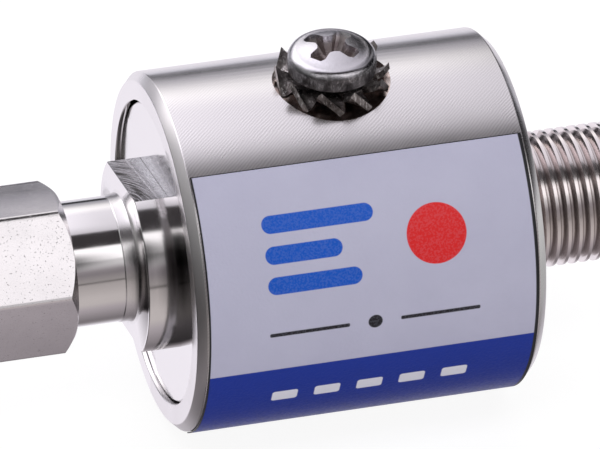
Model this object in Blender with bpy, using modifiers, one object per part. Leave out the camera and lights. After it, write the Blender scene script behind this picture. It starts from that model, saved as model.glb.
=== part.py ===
"""In-line coaxial surge arrestor with a threaded coupling nut, a threaded jack and a ground screw.

The line runs along X from the coupling nut at the origin to the jack at +X.
The ground screw points up. Sizes are in metres.
"""
import math

import bmesh
import bpy
from mathutils import Matrix, Vector

MM = 0.001

# Barrel
BODY_DIAMETER = 25.0 * MM
BODY_LENGTH = 24.6 * MM
BODY_CHAMFER = 0.6 * MM
CAVITY_DIAMETER = 15.0 * MM
REAR_WALL = 4.5 * MM
LINE_BORE_DIAMETER = 5.2 * MM
MOUTH_WALL = 1.95 * MM
MOUTH_BREAK = 0.15 * MM

# Threaded jack, turned in one piece with the barrel
JACK_THREAD_DIAMETER = 9.525 * MM
JACK_LENGTH = 10.5 * MM
JACK_RELIEF_LENGTH = 0.8 * MM
JACK_RELIEF_DEPTH = 0.5 * MM
JACK_LEAD = 0.6 * MM

# End plug: flange, wrench collar and neck in one piece
FLANGE_THICKNESS = 3.5 * MM
FLANGE_CHAMFER = 0.4 * MM
FLANGE_RECESS = 0.32 * MM
COLLAR_DIAMETER = 13.6 * MM
COLLAR_LENGTH = 2.35 * MM
COLLAR_ACROSS_FLATS = 11.1 * MM
COLLAR_BREAK = 0.15 * MM
NECK_DIAMETER = 8.7 * MM
NECK_SHOWING = 4.5 * MM
NECK_STEP = 0.65 * MM
SPIGOT_LENGTH = 3.0 * MM
WRENCH_TURN = math.radians(14)

# Coupling nut and the snap ring that holds it on the neck
NUT_ACROSS_FLATS = 10.5 * MM
NUT_LENGTH = 11.0 * MM
NUT_CORNER_CHAMFER = 0.75 * MM
NUT_REAR_POCKET = 1.2 * MM
NUT_LIP = 1.2 * MM
NUT_THREAD_BORE = 8.8 * MM
NUT_THREAD_RELIEF = 1.3 * MM
NECK_FRONT_SETBACK = 6.4 * MM
SNAP_RING_THICKNESS = 0.75 * MM
SNAP_RING_SECTION = 0.8 * MM
SNAP_RING_SEAT = 0.45 * MM
SNAP_RING_SLIT = 1.2 * MM

# Seal between the plug's spigot and the barrel
SEAL_SECTION = 0.9 * MM
SEAL_SETBACK = 0.85 * MM

# Line conductor, pin and contact
CONDUCTOR_DIAMETER = 1.5 * MM
PIN_DIAMETER = 1.0 * MM
PIN_TIP_SETBACK = 0.9 * MM
PIN_SOCKET_DEPTH = 2.0 * MM
CONDUCTOR_START = 11.0 * MM
SADDLE_DIAMETER = 4.4 * MM
SADDLE_LENGTH = 5.4 * MM
SADDLE_HEIGHT = 1.5 * MM
TAIL_DIAMETER = 0.8 * MM
TAIL_LENGTH = 2.0 * MM
CONTACT_DIAMETER = 1.9 * MM
CONTACT_BORE = 1.1 * MM
CONTACT_FINGER_LENGTH = 5.2 * MM
CONTACT_SLOT = 0.25 * MM

# Insulators
FRONT_INSULATOR_LENGTH = 3.0 * MM
FRONT_INSULATOR_SETBACK = 0.5 * MM
PLUG_INSULATOR_DIAMETER = 11.0 * MM
PLUG_INSULATOR_LENGTH = 2.4 * MM
JACK_INSULATOR_DIAMETER = 6.8 * MM
JACK_INSULATOR_LENGTH = 2.5 * MM
MOUTH_INSULATOR_LENGTH = 1.8 * MM
MOUTH_INSULATOR_SETBACK = 0.3 * MM
MOUTH_HOLE_DIAMETER = 1.5 * MM

# Gas tube between the conductor's saddle and the barrel
TUBE_DIAMETER = 4.8 * MM
TUBE_WALL = 0.8 * MM
TUBE_CERAMIC_LENGTH = 2.0 * MM
ELECTRODE_THICKNESS = 0.5 * MM
ELECTRODE_BOSS_DIAMETER = 2.2 * MM
SPARK_GAP = 0.6 * MM
TUBE_SPRING_WIRE = 0.3 * MM
TUBE_SPRING_DIAMETER = 3.0 * MM
TUBE_SPRING_TURNS = 2.5
CUP_WALL = 0.55 * MM
CUP_FLOOR = 0.8 * MM
CUP_DEPTH = 3.0 * MM

# Ground screw and its star washer
SCREW_FROM_FACE = 12.35 * MM
SCREW_THREAD_DIAMETER = 3.0 * MM
SCREW_LENGTH = 4.6 * MM
SCREW_POINT = 0.3 * MM
SCREW_HOLE_SPARE = 0.35 * MM
SCREW_HEAD_DIAMETER = 6.1 * MM
SCREW_HEAD_HEIGHT = 1.95 * MM
SCREW_HEAD_ROUND = 0.9 * MM
SCREW_HEAD_CROWN = 0.2 * MM
SCREW_HEAD_LIFT = 1.58 * MM
RECESS_SPAN = 3.7 * MM
RECESS_WING = 1.05 * MM
RECESS_DEPTH = 1.4 * MM
RECESS_TURN = math.radians(43)
SPOT_FACE_DIAMETER = 8.1 * MM
WASHER_DIAMETER = 7.7 * MM
WASHER_RING_DIAMETER = 5.3 * MM
WASHER_THICKNESS = 0.45 * MM
WASHER_TEETH = 10
WASHER_TOOTH_ROOT = 1.2 * MM
WASHER_TOOTH_TIP = 2.2 * MM
WASHER_TWIST = math.radians(-46)

# Label film on the barrel, with angles measured from the screw round towards the front
LABEL_THICKNESS = 0.10 * MM
LABEL_STANDOFF = 0.04 * MM
LABEL_MARGIN = 0.10 * MM
LABEL_TOP = math.radians(31.7)
LABEL_BOTTOM = math.radians(144.5)

# Clearances
SEAT_GAP = 0.10 * MM
SIDE_GAP = 0.15 * MM

# Facets round a full turn
COARSE = 20
MEDIUM = 36
FINE = 60

# Stations along X, worked out from the sizes above
X_NECK_FRONT = NECK_FRONT_SETBACK
X_NUT_REAR = NUT_LENGTH
X_COLLAR = X_NUT_REAR + NECK_SHOWING
X_FLANGE = X_COLLAR + COLLAR_LENGTH
X_FLANGE_BACK = X_FLANGE + FLANGE_THICKNESS
X_SPIGOT_END = X_FLANGE_BACK + SPIGOT_LENGTH
X_BODY = X_FLANGE - FLANGE_RECESS
X_BODY_END = X_BODY + BODY_LENGTH
X_CAVITY_END = X_BODY_END - REAR_WALL
X_JACK_END = X_BODY_END + JACK_LENGTH
X_SCREW = X_BODY + SCREW_FROM_FACE

BODY_RADIUS = BODY_DIAMETER / 2
CAVITY_RADIUS = CAVITY_DIAMETER / 2
MOUTH_RADIUS = BODY_RADIUS - MOUTH_WALL
LINE_BORE = LINE_BORE_DIAMETER / 2
NECK_RADIUS = NECK_DIAMETER / 2
NECK_INNER_RADIUS = NECK_RADIUS - NECK_STEP
CONDUCTOR_RADIUS = CONDUCTOR_DIAMETER / 2
Z_SPOT_FACE = math.sqrt(BODY_RADIUS ** 2 - (SPOT_FACE_DIAMETER / 2) ** 2)
Z_HEAD = Z_SPOT_FACE + SCREW_HEAD_LIFT


def clear_scene():
    for old in list(bpy.data.objects):
        bpy.data.objects.remove(old, do_unlink=True)


def new_collection(name):
    collection = bpy.data.collections.new(name)
    bpy.context.scene.collection.children.link(collection)
    return collection


def new_material(name, color, roughness, metallic=0.0):
    material = bpy.data.materials.new(name)
    material.use_nodes = True
    shader = material.node_tree.nodes["Principled BSDF"]
    shader.inputs["Base Color"].default_value = (*color, 1.0)
    shader.inputs["Roughness"].default_value = roughness
    shader.inputs["Metallic"].default_value = metallic
    return material


clear_scene()
PARTS = new_collection("coax_surge_arrestor")
CUTTERS = new_collection("cutters")

NICKEL = new_material("bright_nickel", (0.78, 0.77, 0.76), 0.18, 1.0)
NICKEL_SATIN = new_material("satin_nickel", (0.70, 0.69, 0.69), 0.32, 1.0)
ZINC = new_material("zinc_steel", (0.55, 0.55, 0.56), 0.30, 1.0)
GOLD = new_material("gold_plate", (0.85, 0.62, 0.28), 0.25, 1.0)
SPRING_STEEL = new_material("spring_steel", (0.45, 0.45, 0.47), 0.35, 1.0)
PTFE = new_material("white_fluoropolymer", (0.90, 0.90, 0.88), 0.45)
CERAMIC = new_material("alumina", (0.88, 0.86, 0.82), 0.40)
COPPER = new_material("tinned_copper", (0.72, 0.58, 0.50), 0.35, 1.0)
RUBBER = new_material("black_rubber", (0.03, 0.03, 0.03), 0.70)
FILM = new_material("printed_film", (0.62, 0.62, 0.74), 0.45)


def place_along_x(obj):
    """Lay the object's own Z axis along the line, with its X pointing down."""
    obj.rotation_euler = (0.0, math.pi / 2, 0.0)


def round_the_line(angle, radius):
    """Own X and Y of a point at this angle from the screw, for an object laid along the line."""
    return -radius * math.cos(angle), -radius * math.sin(angle)


def new_object(name, mesh, collection):
    obj = bpy.data.objects.new(name, mesh)
    collection.objects.link(obj)
    return obj


def apply_all(obj):
    """Turn the evaluated shape into the object's own mesh, with smooth sides and sharp edges."""
    bpy.context.view_layer.update()
    evaluated = obj.evaluated_get(bpy.context.evaluated_depsgraph_get())
    mesh = bpy.data.meshes.new_from_object(evaluated)
    shell = bmesh.new()
    shell.from_mesh(mesh)
    bmesh.ops.recalc_face_normals(shell, faces=shell.faces)
    shell.to_mesh(mesh)
    shell.free()
    obj.modifiers.clear()
    obj.data = mesh
    mesh.shade_smooth()
    mesh.set_sharp_from_angle(angle=math.radians(32))
    return obj


def revolve(name, points, collection, steps, closed, angle=2 * math.pi, start=0.0):
    """Sweep a profile of (height, radius) points round the object's own Z axis."""
    shell = bmesh.new()
    ring = [shell.verts.new((r * math.cos(start), r * math.sin(start), z)) for z, r in points]
    for first, second in zip(ring, ring[1:]):
        shell.edges.new((first, second))
    if closed:
        shell.edges.new((ring[-1], ring[0]))
    mesh = bpy.data.meshes.new(name)
    shell.to_mesh(mesh)
    shell.free()
    obj = new_object(name, mesh, collection)
    screw = obj.modifiers.new("Turn", "SCREW")
    screw.axis = "Z"
    screw.angle = angle
    screw.steps = steps
    screw.render_steps = steps
    screw.use_merge_vertices = True
    screw.merge_threshold = 0.000001
    return obj


def turned(name, points, steps=MEDIUM, collection=None, closed=False):
    """A turned piece: a path from axis to axis, or a closed section clear of the axis."""
    obj = revolve(name, points, collection or PARTS, steps, closed)
    return apply_all(obj)


def turned_on_line(name, points, steps=MEDIUM, collection=None, closed=False):
    obj = turned(name, points, steps, collection, closed)
    place_along_x(obj)
    return obj


def prism(name, outline, low, high, collection, taper=1.0):
    """Extrude an outline along the object's own Z from low to high, scaled by taper at the low end."""
    shell = bmesh.new()
    face = shell.faces.new([shell.verts.new((x, y, high)) for x, y in outline])
    grown = bmesh.ops.extrude_face_region(shell, geom=[face])
    far = [item for item in grown["geom"] if isinstance(item, bmesh.types.BMVert)]
    for vert in far:
        vert.co = Vector((vert.co.x * taper, vert.co.y * taper, low))
    mesh = bpy.data.meshes.new(name)
    shell.to_mesh(mesh)
    shell.free()
    return apply_all(new_object(name, mesh, collection))


def block(name, low, high):
    """A box cutter between two corners."""
    shell = bmesh.new()
    bmesh.ops.create_cube(shell, size=1.0)
    size = Vector(high) - Vector(low)
    middle = (Vector(high) + Vector(low)) / 2
    placing = Matrix.Translation(middle) @ Matrix.Diagonal((*size, 1.0))
    bmesh.ops.transform(shell, verts=shell.verts, matrix=placing)
    mesh = bpy.data.meshes.new(name)
    shell.to_mesh(mesh)
    shell.free()
    return new_object(name, mesh, CUTTERS)


def combine(obj, tool, operation):
    """Cut, join or intersect an object with a tool that then stays hidden among the cutters."""
    boolean = obj.modifiers.new(tool.name, "BOOLEAN")
    boolean.operation = operation
    boolean.solver = "EXACT"
    boolean.object = tool
    tool.hide_render = True
    tool.display_type = "WIRE"
    return obj


def set_material(obj, material):
    obj.data.materials.clear()
    obj.data.materials.append(material)
    return obj


def make_barrel():
    jack = JACK_THREAD_DIAMETER / 2
    relief = jack - JACK_RELIEF_DEPTH
    seat = JACK_INSULATOR_DIAMETER / 2
    x_shoulder = X_FLANGE_BACK + SEAT_GAP
    x_insulator_seat = X_CAVITY_END + JACK_INSULATOR_LENGTH + SEAT_GAP
    section = [
        (X_BODY, BODY_RADIUS - BODY_CHAMFER),
        (X_BODY + BODY_CHAMFER, BODY_RADIUS),
        (X_BODY_END - BODY_CHAMFER, BODY_RADIUS),
        (X_BODY_END, BODY_RADIUS - BODY_CHAMFER),
        (X_BODY_END, relief),
        (X_BODY_END + JACK_RELIEF_LENGTH, relief),
        (X_BODY_END + JACK_RELIEF_LENGTH + JACK_RELIEF_DEPTH, jack),
        (X_JACK_END - JACK_LEAD, jack),
        (X_JACK_END, jack - JACK_LEAD),
        (X_JACK_END, LINE_BORE),
        (x_insulator_seat, LINE_BORE),
        (x_insulator_seat, seat + SEAT_GAP),
        (X_CAVITY_END, seat + SEAT_GAP),
        (X_CAVITY_END, CAVITY_RADIUS),
        (x_shoulder, CAVITY_RADIUS),
        (x_shoulder, MOUTH_RADIUS),
        (X_BODY + MOUTH_BREAK, MOUTH_RADIUS),
        (X_BODY, MOUTH_RADIUS + MOUTH_BREAK),
    ]
    barrel = turned_on_line("barrel", section, FINE, closed=True)
    hole = SCREW_THREAD_DIAMETER / 2 + SIDE_GAP
    z_hole = Z_HEAD - SCREW_LENGTH - SCREW_HOLE_SPARE
    tap = [
        (z_hole, 0.0),
        (z_hole, hole),
        (Z_SPOT_FACE, hole),
        (Z_SPOT_FACE, SPOT_FACE_DIAMETER / 2),
        (BODY_RADIUS + SCREW_HEAD_LIFT, SPOT_FACE_DIAMETER / 2),
        (BODY_RADIUS + SCREW_HEAD_LIFT, 0.0),
    ]
    cutter = turned("ground_hole_cutter", tap, MEDIUM, CUTTERS)
    cutter.location.x = X_SCREW
    combine(barrel, cutter, "DIFFERENCE")
    return set_material(apply_all(barrel), NICKEL)


def make_end_plug():
    flange = MOUTH_RADIUS - SIDE_GAP
    collar = COLLAR_DIAMETER / 2
    spigot = CAVITY_RADIUS - SIDE_GAP
    groove = CAVITY_RADIUS - SEAL_SECTION - 2 * SEAT_GAP
    snap_groove = NECK_INNER_RADIUS - SNAP_RING_SEAT
    x_step = X_NUT_REAR - NUT_REAR_POCKET + SIDE_GAP
    x_lip_front = X_NUT_REAR - NUT_REAR_POCKET - NUT_LIP
    x_groove_back = x_lip_front - SIDE_GAP + SEAT_GAP
    x_groove_front = x_groove_back - SNAP_RING_THICKNESS - 2 * SEAT_GAP
    x_seal = X_FLANGE_BACK + SEAL_SETBACK
    x_pocket = X_SPIGOT_END - PLUG_INSULATOR_LENGTH - 2 * SEAT_GAP
    pocket = PLUG_INSULATOR_DIAMETER / 2 + SEAT_GAP
    section = [
        (X_NECK_FRONT, LINE_BORE),
        (X_NECK_FRONT, NECK_INNER_RADIUS - COLLAR_BREAK),
        (X_NECK_FRONT + COLLAR_BREAK, NECK_INNER_RADIUS),
        (x_groove_front, NECK_INNER_RADIUS),
        (x_groove_front, snap_groove),
        (x_groove_back, snap_groove),
        (x_groove_back, NECK_INNER_RADIUS),
        (x_step, NECK_INNER_RADIUS),
        (x_step, NECK_RADIUS),
        (X_COLLAR, NECK_RADIUS),
        (X_COLLAR, collar - COLLAR_BREAK),
        (X_COLLAR + COLLAR_BREAK, collar),
        (X_FLANGE, collar),
        (X_FLANGE, flange - FLANGE_CHAMFER),
        (X_FLANGE + FLANGE_CHAMFER, flange),
        (X_FLANGE_BACK, flange),
        (X_FLANGE_BACK, spigot),
        (x_seal, spigot),
        (x_seal, groove),
        (x_seal + SEAL_SECTION + 2 * SEAT_GAP, groove),
        (x_seal + SEAL_SECTION + 2 * SEAT_GAP, spigot),
        (X_SPIGOT_END, spigot),
        (X_SPIGOT_END, pocket),
        (x_pocket, pocket),
        (x_pocket, LINE_BORE),
    ]
    plug = turned_on_line("end_plug", section, FINE, closed=True)
    for side in (1, -1):
        low = COLLAR_ACROSS_FLATS / 2
        corners = [(low, -collar), (collar + low, -collar), (collar + low, collar), (low, collar)]
        angle = math.pi - WRENCH_TURN if side > 0 else -WRENCH_TURN
        across, along = math.cos(angle), math.sin(angle)
        outline = [(x * across - y * along, x * along + y * across) for x, y in corners]
        cutter = prism(f"wrench_flat_cutter_{side}", outline, X_COLLAR - COLLAR_LENGTH, X_FLANGE, CUTTERS)
        place_along_x(cutter)
        combine(plug, cutter, "DIFFERENCE")
    return set_material(apply_all(plug), NICKEL)


def make_coupling_nut():
    corner = NUT_ACROSS_FLATS / math.sqrt(3)
    turns = [math.radians(30 + 60 * side) - WRENCH_TURN for side in range(6)]
    hexagon = [round_the_line(turn, corner) for turn in turns]
    nut = prism("coupling_nut", hexagon, 0.0, NUT_LENGTH, PARTS)
    place_along_x(nut)
    end = NUT_ACROSS_FLATS / 2 - SEAT_GAP / 2
    wide = end + NUT_CORNER_CHAMFER * (corner + SEAT_GAP - end) / (corner - end)
    run = NUT_CORNER_CHAMFER * (wide - end) / (corner - end)
    envelope = [
        (0.0, 0.0),
        (0.0, end),
        (run, wide),
        (NUT_LENGTH - run, wide),
        (NUT_LENGTH, end),
        (NUT_LENGTH, 0.0),
    ]
    combine(nut, turned_on_line("nut_chamfer_envelope", envelope, FINE, CUTTERS), "INTERSECT")
    thread = NUT_THREAD_BORE / 2
    relief = JACK_THREAD_DIAMETER / 2
    lip = NECK_INNER_RADIUS + SIDE_GAP
    pocket = NECK_RADIUS + SIDE_GAP
    x_lip_back = NUT_LENGTH - NUT_REAR_POCKET
    x_lip_front = x_lip_back - NUT_LIP
    past = NUT_LENGTH * 0.1
    bore = [
        (-past, 0.0),
        (-past, relief),
        (0.0, relief),
        (relief - thread, thread),
        (x_lip_front - NUT_THREAD_RELIEF, thread),
        (x_lip_front - NUT_THREAD_RELIEF, relief),
        (x_lip_front, relief),
        (x_lip_front, lip),
        (x_lip_back, lip),
        (x_lip_back, pocket),
        (NUT_LENGTH + past, pocket),
        (NUT_LENGTH + past, 0.0),
    ]
    combine(nut, turned_on_line("nut_bore_cutter", bore, MEDIUM, CUTTERS), "DIFFERENCE")
    return set_material(apply_all(nut), NICKEL_SATIN)


def make_nut_snap_ring():
    inner = NECK_INNER_RADIUS - SNAP_RING_SEAT + SEAT_GAP
    outer = inner + SNAP_RING_SECTION
    back = X_NUT_REAR - NUT_REAR_POCKET - NUT_LIP - SIDE_GAP
    front = back - SNAP_RING_THICKNESS
    section = [(front, inner), (front, outer), (back, outer), (back, inner)]
    ring = turned_on_line("nut_snap_ring", section, MEDIUM, closed=True)
    half = SNAP_RING_SLIT / 2
    slit = block("snap_ring_slit", (front - half, -half, 0.0), (back + half, half, outer * 1.2))
    combine(ring, slit, "DIFFERENCE")
    return set_material(apply_all(ring), SPRING_STEEL)


def make_plug_seal():
    radius = SEAL_SECTION / 2
    middle = CAVITY_RADIUS - SEAT_GAP - radius
    x_middle = X_FLANGE_BACK + SEAL_SETBACK + SEAT_GAP + radius
    sides = 8
    turns = [2 * math.pi * side / sides for side in range(sides)]
    section = [(x_middle + radius * math.cos(turn), middle + radius * math.sin(turn)) for turn in turns]
    seal = turned_on_line("plug_seal_ring", section, MEDIUM, closed=True)
    return set_material(seal, RUBBER)


def make_insulator(name, low, length, diameter, hole):
    radius = diameter / 2 - SEAT_GAP
    section = [(low, hole), (low, radius), (low + length, radius), (low + length, hole)]
    sleeve = turned_on_line(name, section, COARSE, closed=True)
    return set_material(sleeve, PTFE)


def make_insulators():
    round_pin = PIN_DIAMETER / 2 + SEAT_GAP
    round_conductor = CONDUCTOR_RADIUS + SEAT_GAP
    x_front = X_NECK_FRONT + FRONT_INSULATOR_SETBACK
    x_plug = X_SPIGOT_END - PLUG_INSULATOR_LENGTH - SEAT_GAP
    x_mouth = X_JACK_END - MOUTH_INSULATOR_SETBACK - MOUTH_INSULATOR_LENGTH
    plug_seat = PLUG_INSULATOR_DIAMETER + 2 * SEAT_GAP
    jack_seat = JACK_INSULATOR_DIAMETER + 2 * SEAT_GAP
    make_insulator("plug_front_insulator", x_front, FRONT_INSULATOR_LENGTH, LINE_BORE_DIAMETER, round_pin)
    make_insulator("plug_rear_insulator", x_plug, PLUG_INSULATOR_LENGTH, plug_seat, round_conductor)
    make_insulator("jack_rear_insulator", X_CAVITY_END, JACK_INSULATOR_LENGTH, jack_seat, round_conductor)
    make_insulator("jack_mouth_insulator", x_mouth, MOUTH_INSULATOR_LENGTH, LINE_BORE_DIAMETER,
                   MOUTH_HOLE_DIAMETER / 2)


def make_centre_pin():
    radius = PIN_DIAMETER / 2
    tip = PIN_TIP_SETBACK
    end = CONDUCTOR_START + PIN_SOCKET_DEPTH - SEAT_GAP
    nose = [math.radians(angle) for angle in (0, 30, 60, 90)]
    path = [(tip + radius * (1 - math.cos(angle)), radius * math.sin(angle)) for angle in nose]
    path += [(end, radius), (end, 0.0)]
    return set_material(turned_on_line("plug_centre_pin", path, COARSE), GOLD)


def conductor_end():
    return X_CAVITY_END + JACK_INSULATOR_LENGTH + SEAT_GAP


def make_centre_conductor():
    socket = PIN_DIAMETER / 2 + SEAT_GAP / 2
    saddle = SADDLE_DIAMETER / 2
    x_low = X_SCREW - SADDLE_LENGTH / 2
    x_high = X_SCREW + SADDLE_LENGTH / 2
    x_end = conductor_end()
    path = [
        (CONDUCTOR_START + PIN_SOCKET_DEPTH, 0.0),
        (CONDUCTOR_START + PIN_SOCKET_DEPTH, socket),
        (CONDUCTOR_START, socket),
        (CONDUCTOR_START, CONDUCTOR_RADIUS),
        (x_low, CONDUCTOR_RADIUS),
        (x_low, saddle),
        (x_high, saddle),
        (x_high, CONDUCTOR_RADIUS),
        (x_end, CONDUCTOR_RADIUS),
        (x_end, TAIL_DIAMETER / 2),
        (x_end + TAIL_LENGTH, TAIL_DIAMETER / 2),
        (x_end + TAIL_LENGTH, 0.0),
    ]
    conductor = turned_on_line("centre_conductor", path, COARSE)
    flat = block("saddle_flat_cutter", (x_low - SEAT_GAP, -2 * saddle, -2 * saddle),
                 (x_high + SEAT_GAP, 2 * saddle, -SADDLE_HEIGHT))
    combine(conductor, flat, "DIFFERENCE")
    return set_material(apply_all(conductor), GOLD)


def make_jack_contact():
    outer = CONTACT_DIAMETER / 2
    bore = CONTACT_BORE / 2
    tail = TAIL_DIAMETER / 2 + SEAT_GAP / 2
    start = conductor_end() + SEAT_GAP
    mouth = X_JACK_END - MOUTH_INSULATOR_SETBACK - MOUTH_INSULATOR_LENGTH - SEAT_GAP
    lead = (outer - bore) / 2
    root = mouth - CONTACT_FINGER_LENGTH
    path = [
        (start + TAIL_LENGTH, 0.0),
        (start + TAIL_LENGTH, tail),
        (start, tail),
        (start, outer),
        (mouth - lead, outer),
        (mouth, outer - lead),
        (mouth, bore),
        (root - bore, bore),
        (root - bore, 0.0),
    ]
    contact = turned_on_line("jack_contact", path, COARSE)
    half = CONTACT_SLOT / 2
    slots = (("flat_slot_cutter", 2 * outer, half), ("upright_slot_cutter", half, 2 * outer))
    for name, wide, tall in slots:
        slot = block(name, (root, -wide, -tall), (mouth + outer, wide, tall))
        combine(contact, slot, "DIFFERENCE")
    return set_material(apply_all(contact), GOLD)


def tube_levels():
    """Heights of the gas tube's joints, going down from the saddle's flat."""
    line_top = -SADDLE_HEIGHT - SEAT_GAP
    ceramic_top = line_top - ELECTRODE_THICKNESS - SEAT_GAP
    ceramic_low = ceramic_top - TUBE_CERAMIC_LENGTH
    earth_top = ceramic_low - SEAT_GAP
    earth_low = earth_top - ELECTRODE_THICKNESS
    return line_top, ceramic_top, ceramic_low, earth_top, earth_low


def make_gas_tube():
    line_top, ceramic_top, ceramic_low, earth_top, earth_low = tube_levels()
    outer = TUBE_DIAMETER / 2
    inner = outer - TUBE_WALL
    boss = ELECTRODE_BOSS_DIAMETER / 2
    middle = (ceramic_top + ceramic_low) / 2
    section = [(ceramic_low, inner), (ceramic_low, outer), (ceramic_top, outer), (ceramic_top, inner)]
    ceramic = turned("gas_tube_ceramic", section, COARSE, closed=True)
    set_material(ceramic, CERAMIC)
    line_path = [
        (line_top, 0.0),
        (line_top, outer),
        (line_top - ELECTRODE_THICKNESS, outer),
        (line_top - ELECTRODE_THICKNESS, boss),
        (middle + SPARK_GAP / 2, boss),
        (middle + SPARK_GAP / 2, 0.0),
    ]
    line_electrode = set_material(turned("gas_tube_line_electrode", line_path, COARSE), COPPER)
    earth_path = [
        (earth_low, 0.0),
        (earth_low, outer),
        (earth_top, outer),
        (earth_top, boss),
        (middle - SPARK_GAP / 2, boss),
        (middle - SPARK_GAP / 2, 0.0),
    ]
    earth_electrode = set_material(turned("gas_tube_earth_electrode", earth_path, COARSE), COPPER)
    for piece in (ceramic, line_electrode, earth_electrode):
        piece.location.x = X_SCREW


def cup_floor_level():
    """Top of the cup's floor, above the curved wall that the cup stands on."""
    return -(CAVITY_RADIUS - SEAT_GAP) + CUP_FLOOR


def make_gas_tube_cup():
    inner = TUBE_DIAMETER / 2 + SEAT_GAP
    outer = inner + CUP_WALL
    floor = cup_floor_level()
    path = [
        (-CAVITY_RADIUS, 0.0),
        (-CAVITY_RADIUS, outer),
        (floor + CUP_DEPTH, outer),
        (floor + CUP_DEPTH, inner),
        (floor, inner),
        (floor, 0.0),
    ]
    cup = turned("gas_tube_cup", path, COARSE)
    cup.location.x = X_SCREW
    wall = CAVITY_RADIUS - SEAT_GAP
    reach = [
        (X_SCREW - 2 * outer, 0.0),
        (X_SCREW - 2 * outer, wall),
        (X_SCREW + 2 * outer, wall),
        (X_SCREW + 2 * outer, 0.0),
    ]
    combine(cup, turned_on_line("cavity_envelope", reach, FINE, CUTTERS), "INTERSECT")
    return set_material(apply_all(cup), NICKEL_SATIN)


def make_gas_tube_spring():
    top = tube_levels()[-1] - SEAT_GAP - TUBE_SPRING_WIRE / 2
    low = cup_floor_level() + SEAT_GAP + TUBE_SPRING_WIRE / 2
    radius = (TUBE_SPRING_DIAMETER - TUBE_SPRING_WIRE) / 2
    count = int(TUBE_SPRING_TURNS * 12) + 1
    curve = bpy.data.curves.new("gas_tube_spring", "CURVE")
    curve.dimensions = "3D"
    curve.bevel_depth = TUBE_SPRING_WIRE / 2
    curve.bevel_resolution = 1
    curve.use_fill_caps = True
    coil = curve.splines.new("POLY")
    coil.points.add(count - 1)
    for index, point in enumerate(coil.points):
        share = index / (count - 1)
        turn = 2 * math.pi * TUBE_SPRING_TURNS * share
        height = top + (low - top) * share
        point.co = (radius * math.cos(turn), radius * math.sin(turn), height, 1.0)
    spring = new_object("gas_tube_spring", curve, PARTS)
    spring.location.x = X_SCREW
    curve.materials.append(SPRING_STEEL)
    return spring


def head_profile():
    """The pan head's outline from its underside to the middle of its crown."""
    radius = SCREW_HEAD_DIAMETER / 2
    top = Z_HEAD + SCREW_HEAD_HEIGHT
    corner = top - SCREW_HEAD_CROWN - SCREW_HEAD_ROUND
    path = [(Z_HEAD, radius)]
    for angle in (0, 22.5, 45, 67.5, 90):
        turn = math.radians(angle)
        inset = SCREW_HEAD_ROUND * (1 - math.cos(turn))
        path.append((corner + SCREW_HEAD_ROUND * math.sin(turn), radius - inset))
    path.append((top, 0.0))
    return path


def make_ground_screw():
    shank = SCREW_THREAD_DIAMETER / 2
    point = Z_HEAD - SCREW_LENGTH
    path = [(point, 0.0), (point, shank - SCREW_POINT), (point + SCREW_POINT, shank), (Z_HEAD, shank)]
    screw = turned("ground_screw", path + head_profile(), MEDIUM)
    screw.location.x = X_SCREW
    long = RECESS_SPAN / 2
    wing = RECESS_WING / 2
    cross = [
        (long, wing), (wing, wing), (wing, long), (-wing, long), (-wing, wing), (-long, wing),
        (-long, -wing), (-wing, -wing), (-wing, -long), (wing, -long), (wing, -wing), (long, -wing),
    ]
    top = Z_HEAD + SCREW_HEAD_HEIGHT
    cutter = prism("recess_cutter", cross, top - RECESS_DEPTH, top + SCREW_HEAD_CROWN, CUTTERS, taper=0.45)
    cutter.location.x = X_SCREW
    cutter.rotation_euler.z = RECESS_TURN
    combine(screw, cutter, "DIFFERENCE")
    return set_material(apply_all(screw), ZINC)


def washer_tooth(shell, turn, root, tip):
    """A tooth that widens and twists as it runs outwards, raised where it would dig into the barrel."""
    sections = []
    steps = 4
    room = SCREW_HEAD_LIFT / 2 - SEAT_GAP / 2
    for step in range(steps + 1):
        share = step / steps
        radius = root + (tip - root) * share
        width = WASHER_TOOTH_ROOT + (WASHER_TOOTH_TIP - WASHER_TOOTH_ROOT) * share
        twist = WASHER_TWIST * share ** 1.4
        half_height = (width * abs(math.sin(twist)) + WASHER_THICKNESS * math.cos(twist)) / 2
        lift = max(0.0, half_height - room)
        corners = []
        for along, across in ((1, 1), (-1, 1), (-1, -1), (1, -1)):
            side = along * width / 2
            rise = across * WASHER_THICKNESS / 2
            tangent = side * math.cos(twist) - rise * math.sin(twist)
            height = side * math.sin(twist) + rise * math.cos(twist) + lift
            x = radius * math.cos(turn) - tangent * math.sin(turn)
            y = radius * math.sin(turn) + tangent * math.cos(turn)
            corners.append(shell.verts.new((x, y, height)))
        sections.append(corners)
    for near, far in zip(sections, sections[1:]):
        for index in range(4):
            following = (index + 1) % 4
            shell.faces.new((near[index], near[following], far[following], far[index]))
    shell.faces.new(sections[0])
    shell.faces.new(reversed(sections[-1]))


def make_star_washer():
    hole = SCREW_THREAD_DIAMETER / 2 + SIDE_GAP
    ring = WASHER_RING_DIAMETER / 2
    half = WASHER_THICKNESS / 2
    section = [(-half, hole), (-half, ring), (half, ring), (half, hole)]
    washer = turned("star_washer", section, MEDIUM, closed=True)
    shell = bmesh.new()
    for tooth in range(WASHER_TEETH):
        washer_tooth(shell, 2 * math.pi * tooth / WASHER_TEETH, (hole + ring) / 2, WASHER_DIAMETER / 2)
    mesh = bpy.data.meshes.new("washer_teeth")
    shell.to_mesh(mesh)
    shell.free()
    teeth = apply_all(new_object("washer_teeth", mesh, CUTTERS))
    combine(washer, teeth, "UNION")
    apply_all(washer)
    washer.location = (X_SCREW, 0.0, Z_SPOT_FACE + SCREW_HEAD_LIFT / 2)
    return set_material(washer, ZINC)


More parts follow.
